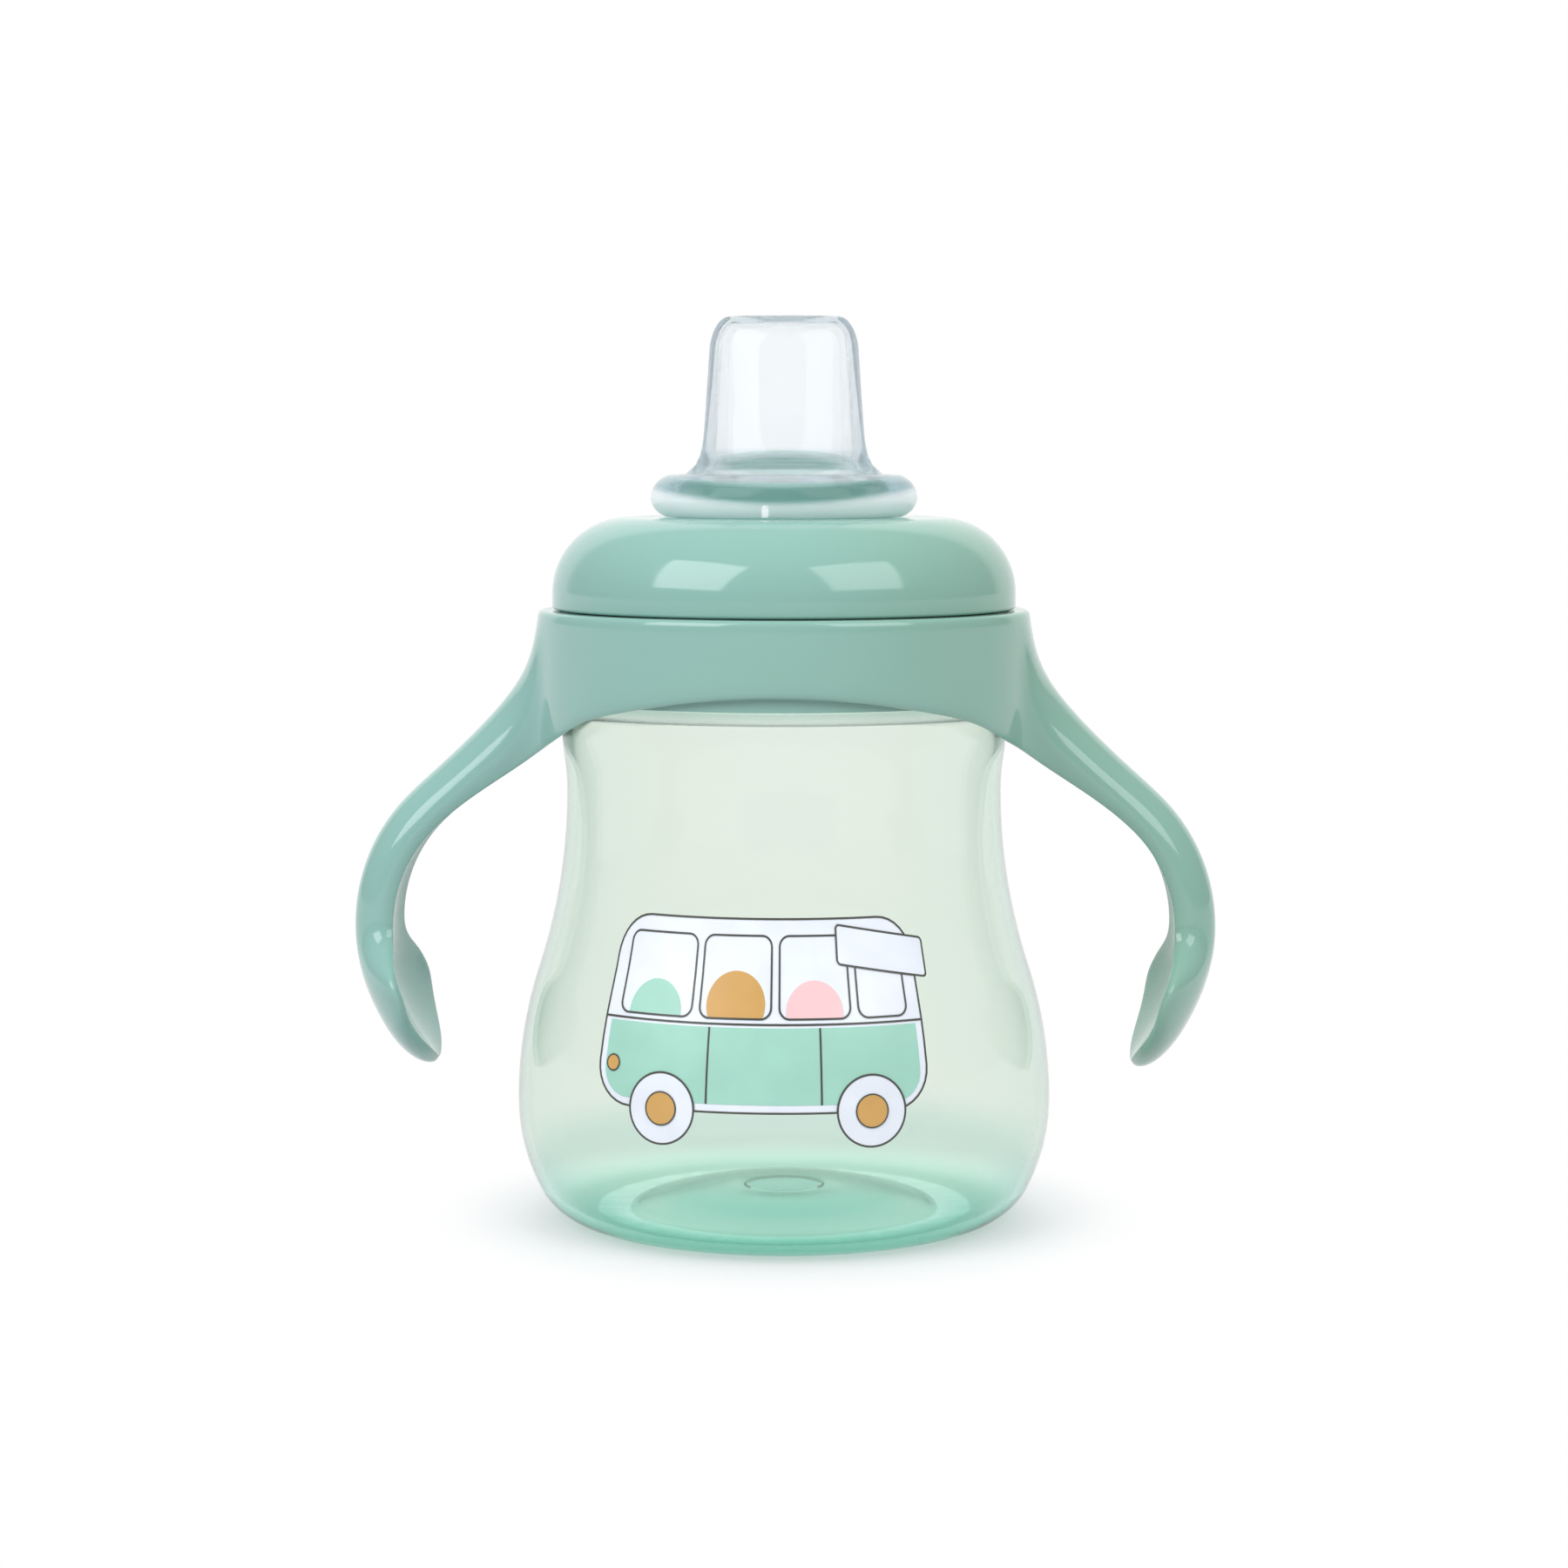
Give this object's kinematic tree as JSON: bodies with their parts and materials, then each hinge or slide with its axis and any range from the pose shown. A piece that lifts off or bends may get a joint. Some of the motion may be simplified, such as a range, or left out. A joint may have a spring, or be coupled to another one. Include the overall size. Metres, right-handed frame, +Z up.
{
  "type": "sippy cup",
  "caption": "Training cup with a waisted clear bottle, a ring with side handles, a domed screw collar and a soft flattened spout.",
  "frame": {"origin": "on the cup's axis, in the plane of its foot ring", "axes": "+Z up along the cup's axis; +X towards one handle, so that the handles lie along X and the printed side faces -Y"},
  "size_m": [0.122, 0.0752, 0.1268],
  "materials": {
    "tinted_plastic": "clear pale green plastic, polished",
    "mint_plastic": "opaque mint plastic, smooth and glossy",
    "clear_silicone": "clear colourless silicone, smooth"
  },
  "bodies": {
    "bottle": {"bottle": "tinted_plastic"},
    "handles": {"handle_ring": "mint_plastic"},
    "spout": {"silicone_spout": "clear_silicone"},
    "collar": {"screw_collar": "mint_plastic"}
  },
  "joints": [
    {"name": "handles_turn", "type": "hinge", "parent": "bottle", "child": "handles", "pos_m": [0, 0, 0.075], "axis": [0, 0, 1], "continuous": true},
    {"name": "lid_lift", "type": "slide", "parent": "bottle", "child": "spout", "axis": [0, 0, 1], "range_m": [0, 0.018]},
    {"name": "collar_turn", "type": "hinge", "parent": "spout", "child": "collar", "pos_m": [0, 0, 0.09], "axis": [0, 0, 1], "range_deg": [0, 1080]}
  ],
  "couplings": [
    {"joint": "lid_lift", "follows": "collar_turn", "m_per_rad": 0.00095492}
  ]
}
